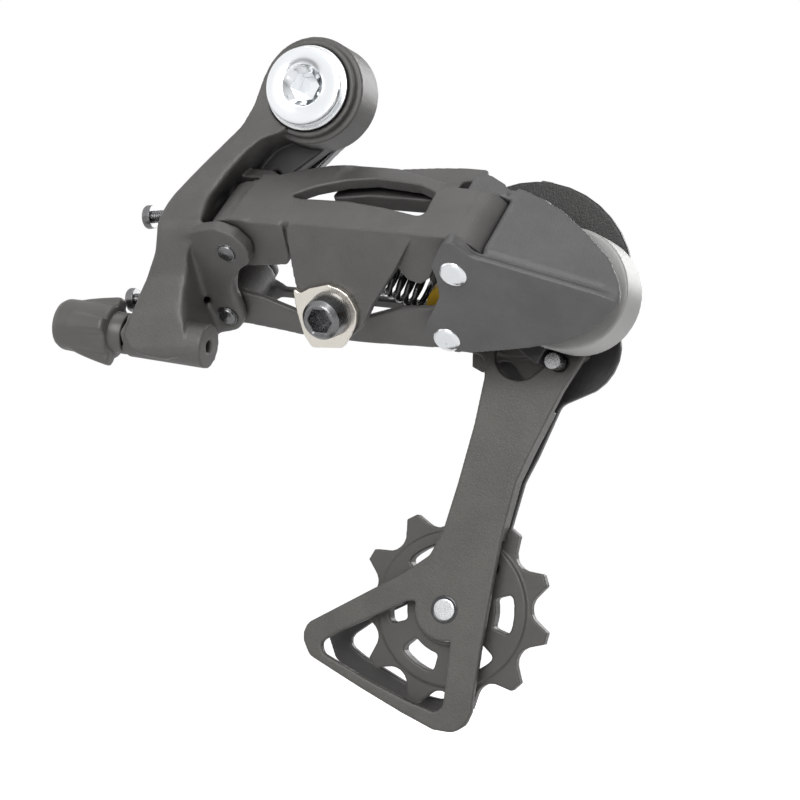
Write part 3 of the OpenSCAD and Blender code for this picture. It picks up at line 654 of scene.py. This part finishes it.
def build_springs():
    start, end = in_frame(link_frame, 0, 0, 12.5), in_frame(link_frame, in_p[0], in_p[1], 10)
    along = end - start
    place = placed(start, along, pin_axis)
    length = along.length / MM
    first, last = 13.6, 43.6
    # the lead bows away from the outer link, which swings past it
    lead = [(0, -2.0, 2.0), (0, -2.6, 4.4), (0, -2.6, 7.0), (0.8, -2.2, 9.8), (2.0, -1.4, 12.4)]
    points = [in_frame(place, *point) for point in lead]
    points += coil_points(place, 3.55, first, last, 15)
    points += [in_frame(place, 2.0, 0.4, last + 0.8), in_frame(place, 0, 0, length - 8.4)]
    spring = tube("return_spring_coil", points, 0.66, 12)
    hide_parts("return_spring")
    finish_as(spring, "spring_steel")
    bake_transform(spring)

    place = placed(Vector((cage_centre.x, 0, cage_centre.z)), (0, 1, 0), (1, 0, 0))
    cage_spring = tube("cage_spring_coil", coil_points(place, 9.3, -8.4, -0.7, 4.5, 48), 0.85, 12)
    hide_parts("cage_spring")
    piece(cage_spring, "knuckle", "spring_steel")


# ---------- cable adjuster ----------
def zigzag(a):
    """Height of the detent ring's teeth, mm."""
    return 0.55 + 0.42 * (2 * abs(2 * ((a * 6 / (2 * math.pi)) % 1) - 1) - 1)


KNOB_RIBS = 4
KNOB_RIB_TURN = math.radians(8)


def knob_radius(z):
    """The knob's radius at each angle, mm: a barrel whose ribs flare out towards the bracket."""
    body = 6.25 - 0.03 * (z - 5) - 0.3 * max(0.0, z - 16.6) ** 2
    height = (7.85 - body) * min(1.0, max(0.0, (14.0 - z) / 8.6)) ** 0.85
    width = 0.30 + 0.014 * (z - 5)

    def radius(a):
        apart = math.remainder(a - KNOB_RIB_TURN, 2 * math.pi / KNOB_RIBS)
        rise = 1 - min(1.0, max(0.0, (abs(apart) - width * 0.45) / (width * 0.75)))
        return body + height * rise * rise * (3 - 2 * rise)
    return radius


def build_adjuster():
    base = adjuster_turn_at - 10 * MM * adjuster_axis
    place = placed(base, adjuster_axis, (0, 1, 0))
    profile = [(0.01, -5.0), (0.8, -5.0), (0.85, -13), (2.1, -13), (2.3, -12.8)]
    profile += thread(2.5, 0.35, 0.8, -12.7, 4.2, 8)
    profile += [(2.5, 5), (4.4, 5)] + rounded_edge(4.4, 16.8, 1, 0.3)
    profile += [(2.6, 16.8), (2.6, 7.8), (0.01, 7.8)]
    bolt = turned("adjusting_bolt_turned", place, profile, 64, 32)
    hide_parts("adjusting_bolt")
    piece(bolt, "adjusting_bolt", "black_steel")
    teeth = [(3.9, -0.2), (4.75, -0.2), (4.75, zigzag), (3.9, zigzag), (3.9, -0.2)]
    detent = ring("adjuster_detents", place, teeth, 96)
    piece(detent, "bracket", "cast_dark")
    wall = [(knob_radius(z), z) for z in np.arange(5.0, 17.7, 0.35)]
    section = [(4.46, 5.0), (4.46, 18.1), (4.6, 18.35), (4.95, 18.38), (5.2, 18.2)] + wall[::-1]
    flare = knob_radius(5.0)
    section += [(lambda a: flare(a) - 0.15, 4.6), (lambda a: flare(a) - 0.6, 4.35), (4.75, 4.3), (4.7, 4.1),
                 (4.7, 1.35), (4.55, 1.2), (4.0, 1.2), (3.95, 1.35), (3.95, 5.0), (4.46, 5.0)]
    knob = ring("adjuster_knob_moulded", place, section, 192, 50)
    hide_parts("adjuster_knob")
    piece(knob, "adjuster_knob", "knob_plastic")
    coil = tube("adjuster_spring_coil", coil_points(place, 3.25, 0.5, 3.9, 3.5, 32), 0.42, 10)
    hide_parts("adjuster_spring")
    piece(coil, "bracket", "spring_steel")


# ---------- stage ----------
WORLD_LIGHT = 0.31  # strength of the even light all round
SHEEN_LOW = 0.27  # what reflections see behind and below
SHEEN_HIGH = 1.0  # what reflections see at the front left, above
SHEEN_TOWARD = (-0.45, -0.55, 0.70)
CAMERA_LENS = 97.2
CAMERA_AT = (0.18256, -0.45692, -0.10329)
CAMERA_AIM = (0.0188, -0.0070, -0.0698)
# each lamp's place from the part's centre in metres, its size in metres and its power in watts
LAMPS = {"front": ((0.10, -0.85, 0.30), 0.55, 5.2), "left": ((-0.75, -0.35, 0.15), 0.5, 0.3),
         "top": ((0.0, -0.1, 0.8), 0.5, 1.1), "rim": ((0.35, 0.7, 0.35), 0.5, 4.5)}
FLOOR_LIFT = 0.75  # how brightly the camera sees the floor glow
FLOOR_DROP = 45  # mm under the rest pose, clear of the swung cage


def build_stage():
    low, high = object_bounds()
    floor_z = low.z - FLOOR_DROP * MM
    bm = bmesh.new()
    bmesh.ops.create_grid(bm, x_segments=1, y_segments=1, size=4)
    mesh = bpy.data.meshes.new("floor")
    bm.to_mesh(mesh)
    bm.free()
    floor = new_object("floor", mesh)
    floor.location = (0, 0, floor_z)
    paper = bpy.data.materials.new("paper")
    paper.use_nodes = True
    shader = paper.node_tree.nodes["Principled BSDF"]
    shader.inputs["Base Color"].default_value = (0.95, 0.95, 0.95, 1)
    shader.inputs["Roughness"].default_value = 0.9
    shader.inputs["Emission Color"].default_value = (1, 1, 1, 1)
    seen = paper.node_tree.nodes.new("ShaderNodeLightPath")
    lift = node_of(paper.node_tree, "Math", operation="MULTIPLY")
    lift.inputs[1].default_value = FLOOR_LIFT
    paper.node_tree.links.new(seen.outputs["Is Camera Ray"], lift.inputs[0])
    paper.node_tree.links.new(lift.outputs[0], shader.inputs["Emission Strength"])
    mesh.materials.append(paper)

    world = bpy.data.worlds.new("studio")
    bpy.context.scene.world = world
    world.use_nodes = True
    tree = world.node_tree
    background = tree.nodes["Background"]
    background.inputs["Color"].default_value = (1, 1, 1, 1)
    background.inputs["Strength"].default_value = 1.0
    rays = tree.nodes.new("ShaderNodeLightPath")
    aim_at = tree.nodes.new("ShaderNodeTexCoord")
    toward = node_of(tree, "VectorMath", operation="DOT_PRODUCT")
    toward.inputs[1].default_value = SHEEN_TOWARD
    tree.links.new(aim_at.outputs["Generated"], toward.inputs[0])
    sheen = ramped(tree, toward.outputs["Value"], -0.7, 0.8, SHEEN_LOW, SHEEN_HIGH)
    ambient = node_of(tree, "Value")
    ambient.outputs[0].default_value = WORLD_LIGHT
    strength = node_of(tree, "Mix", data_type="FLOAT")
    tree.links.new(rays.outputs["Is Glossy Ray"], strength.inputs[0])
    tree.links.new(ambient.outputs[0], strength.inputs[2])
    tree.links.new(sheen, strength.inputs[3])
    light = tree.nodes.new("ShaderNodeBackground")
    light.inputs["Color"].default_value = (1, 1, 1, 1)
    tree.links.new(strength.outputs[0], light.inputs["Strength"])
    mix = tree.nodes.new("ShaderNodeMixShader")
    tree.links.new(rays.outputs["Is Camera Ray"], mix.inputs[0])
    tree.links.new(light.outputs[0], mix.inputs[1])
    tree.links.new(background.outputs[0], mix.inputs[2])
    tree.links.new(mix.outputs[0], tree.nodes["World Output"].inputs["Surface"])

    centre = (low + high) / 2
    for name, (offset, size, power) in LAMPS.items():
        data = bpy.data.lights.new(name, "AREA")
        data.shape = "SQUARE"
        data.size = size
        data.energy = power
        lamp = bpy.data.objects.new(name, data)
        bpy.context.scene.collection.objects.link(lamp)
        lamp.location = centre + Vector(offset)
        lamp.rotation_euler = (-Vector(offset)).to_track_quat("-Z", "Y").to_euler()

    data = bpy.data.cameras.new("camera")
    data.lens = CAMERA_LENS
    data.sensor_width = 36
    data.clip_start = 0.01
    camera = bpy.data.objects.new("camera", data)
    bpy.context.scene.collection.objects.link(camera)
    camera.location = CAMERA_AT
    camera.rotation_euler = (Vector(CAMERA_AIM) - camera.location).to_track_quat("-Z", "Y").to_euler()
    bpy.context.scene.camera = camera
    bpy.context.scene.view_settings.view_transform = "Standard"


build_hanger_bolt()
build_castings()
build_pulleys()
build_pins()
build_screws()
build_cable_clamp()
build_pulley_bolts()
build_springs()
build_adjuster()
build_stage()
